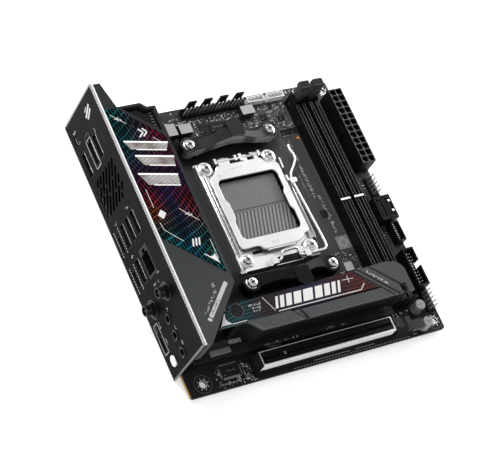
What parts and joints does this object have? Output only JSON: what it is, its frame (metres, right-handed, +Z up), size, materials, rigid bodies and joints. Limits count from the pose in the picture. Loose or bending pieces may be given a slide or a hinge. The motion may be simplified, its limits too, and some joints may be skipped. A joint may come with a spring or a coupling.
{
  "type": "motherboard",
  "caption": "Small square computer motherboard with covered rear ports, clamped processor socket, memory and expansion slots and a storage heatsink.",
  "frame": {"origin": "midpoint between the two case holes nearest the expansion slot, at the board's underside", "axes": "+Z up out of the board's component side; +X from the rear port side towards the front edge; +Y from the expansion slot edge towards the fan header edge"},
  "size_m": [0.1786, 0.1739, 0.0458],
  "materials": {
    "board": "solder-masked circuit board, satin black",
    "backplate": "black coated steel",
    "shield": "sandblasted dark grey coating",
    "cover": "sandblasted dark grey coating",
    "printed_plate": "satin black print with thin coloured lines",
    "dark_aluminium": "bead-blasted black anodised",
    "bright_steel": "bright nickel plated",
    "screw_steel": "bright plated",
    "black_plastic": "fine moulded texture",
    "grey_plastic": "fine moulded texture",
    "white_plastic": "fine moulded texture",
    "contact_metal": "gold flashed",
    "ferrite": "moulded metal powder, matte",
    "can_metal": "satin can",
    "chip_epoxy": "moulded epoxy"
  },
  "bodies": {
    "board_body": {"pcb": "board", "socket_backplate": "backplate", "io_shield": "shield", "hdmi_port": "bright_steel", "usb_a_ports": "bright_steel", "usb_c_ports": "bright_steel", "lan_port": "bright_steel", "antenna_connectors": "contact_metal", "wifi_module": "black_plastic", "audio_jacks": "black_plastic", "io_cover": "cover", "cover_plate": "printed_plate", "cover_screws": "screw_steel", "vrm_heatsink": "dark_aluminium", "vrm_mosfets": "chip_epoxy", "vrm_thermal_pads": "grey_plastic", "riser_board": "board", "riser_connector": "black_plastic", "riser_standoffs": "contact_metal", "audio_codec_can": "can_metal", "m2_heatsink": "dark_aluminium", "m2_socket": "black_plastic", "m2_heatsink_cover": "dark_aluminium", "m2_cover_screws": "screw_steel", "cpu_socket": "black_plastic", "socket_contacts": "contact_metal", "ilm_frame": "bright_steel", "load_plate_pin": "bright_steel", "ilm_screws": "screw_steel", "cooler_brackets": "black_plastic", "cooler_bracket_screws": "screw_steel", "pcie_slot": "black_plastic", "pcie_slot_shell": "bright_steel", "pcie_contacts": "contact_metal", "pcie_latch_posts": "black_plastic", "dimm_slot_a": "black_plastic", "dimm_slot_b": "black_plastic", "dimm_contacts": "contact_metal", "atx_power_connector": "black_plastic", "cpu_power_connector": "black_plastic", "power_pins": "contact_metal", "fan_headers": "black_plastic", "light_headers": "white_plastic", "pin_headers": "black_plastic", "header_pins": "contact_metal", "sata_ports": "black_plastic", "usb3_header": "black_plastic", "usbc_header": "bright_steel", "chips": "chip_epoxy", "chipset": "chip_epoxy", "power_inductors": "ferrite", "electrolytic_caps": "can_metal", "coin_cell": "bright_steel"},
    "load_plate_body": {"load_plate": "bright_steel"},
    "lever_body": {"socket_lever": "bright_steel"},
    "dimm_latch_a_body": {"dimm_latch_a": "black_plastic"},
    "dimm_latch_b_body": {"dimm_latch_b": "black_plastic"},
    "pcie_latch_body": {"pcie_latch": "black_plastic"},
    "flash_button_body": {"bios_flash_button": "black_plastic"},
    "cmos_button_body": {"clear_cmos_button": "grey_plastic"}
  },
  "joints": [
    {"name": "socket_lever_hinge", "type": "hinge", "parent": "board_body", "child": "lever_body", "pos_m": [0.00237, 0.05695, 0.0056], "axis": [1, 0, 0], "range_deg": [0, 110]},
    {"name": "load_plate_hinge", "type": "hinge", "parent": "board_body", "child": "load_plate_body", "pos_m": [-0.00063, 0.12385, 0.0056], "axis": [-1, 0, 0], "range_deg": [0, 100]},
    {"name": "dimm_latch_a_hinge", "type": "hinge", "parent": "board_body", "child": "dimm_latch_a_body", "pos_m": [0.05227, 0.15165, 0.006], "axis": [-1, 0, 0], "range_deg": [0, 28]},
    {"name": "dimm_latch_b_hinge", "type": "hinge", "parent": "board_body", "child": "dimm_latch_b_body", "pos_m": [0.06167, 0.15165, 0.006], "axis": [-1, 0, 0], "range_deg": [0, 28]},
    {"name": "pcie_latch_hinge", "type": "hinge", "parent": "board_body", "child": "pcie_latch_body", "pos_m": [0.04597, 0.00155, 0.0064], "axis": [0, 1, 0], "range_deg": [0, 12]},
    {"name": "flash_button_slide", "type": "slide", "parent": "board_body", "child": "flash_button_body", "axis": [1, 0, 0], "range_m": [0, 0.0006], "stiffness_N_per_m": 400},
    {"name": "cmos_button_slide", "type": "slide", "parent": "board_body", "child": "cmos_button_body", "axis": [1, 0, 0], "range_m": [0, 0.0006], "stiffness_N_per_m": 400}
  ]
}
